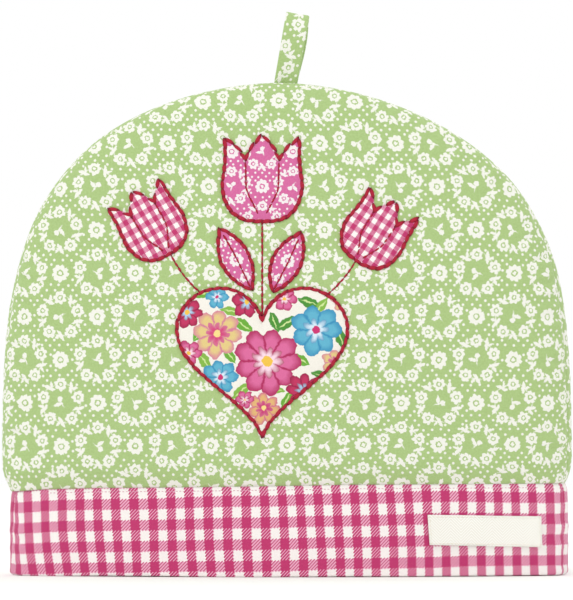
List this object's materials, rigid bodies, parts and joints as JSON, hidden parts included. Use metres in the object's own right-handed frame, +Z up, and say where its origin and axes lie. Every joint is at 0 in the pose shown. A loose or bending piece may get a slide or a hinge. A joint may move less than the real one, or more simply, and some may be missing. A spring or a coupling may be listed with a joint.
{
  "type": "tea cosy",
  "caption": "Wadded dome-shaped tea cosy, open below, with a gingham band, an applique posy, a bare label tape and a hanging loop.",
  "frame": {"origin": "on the surface under the middle of the hem, where the cosy stands", "axes": "+X to the viewer's right along the cosy's width, the decorated front faces -Y, +Z up towards the hanging loop"},
  "size_m": [0.3306, 0.097, 0.3255],
  "materials": {
    "green_print": "plain-woven cotton, light green with small cream flowers",
    "gingham": "woven cotton gingham, deep pink and white",
    "tape": "cream herringbone tape, bare",
    "flowered_cotton": null,
    "pink_print": "pink cotton with small white flowers"
  },
  "bodies": {
    "root": {"front_panel": "green_print", "back_panel": "green_print", "front_band": "gingham", "back_band": "gingham", "hanging_loop": "green_print", "label": "tape", "heart": "flowered_cotton", "tulip_centre": "pink_print", "tulip_left": "gingham", "tulip_right": "gingham", "leaf_left": "pink_print", "leaf_right": "pink_print"}
  },
  "joints": []
}
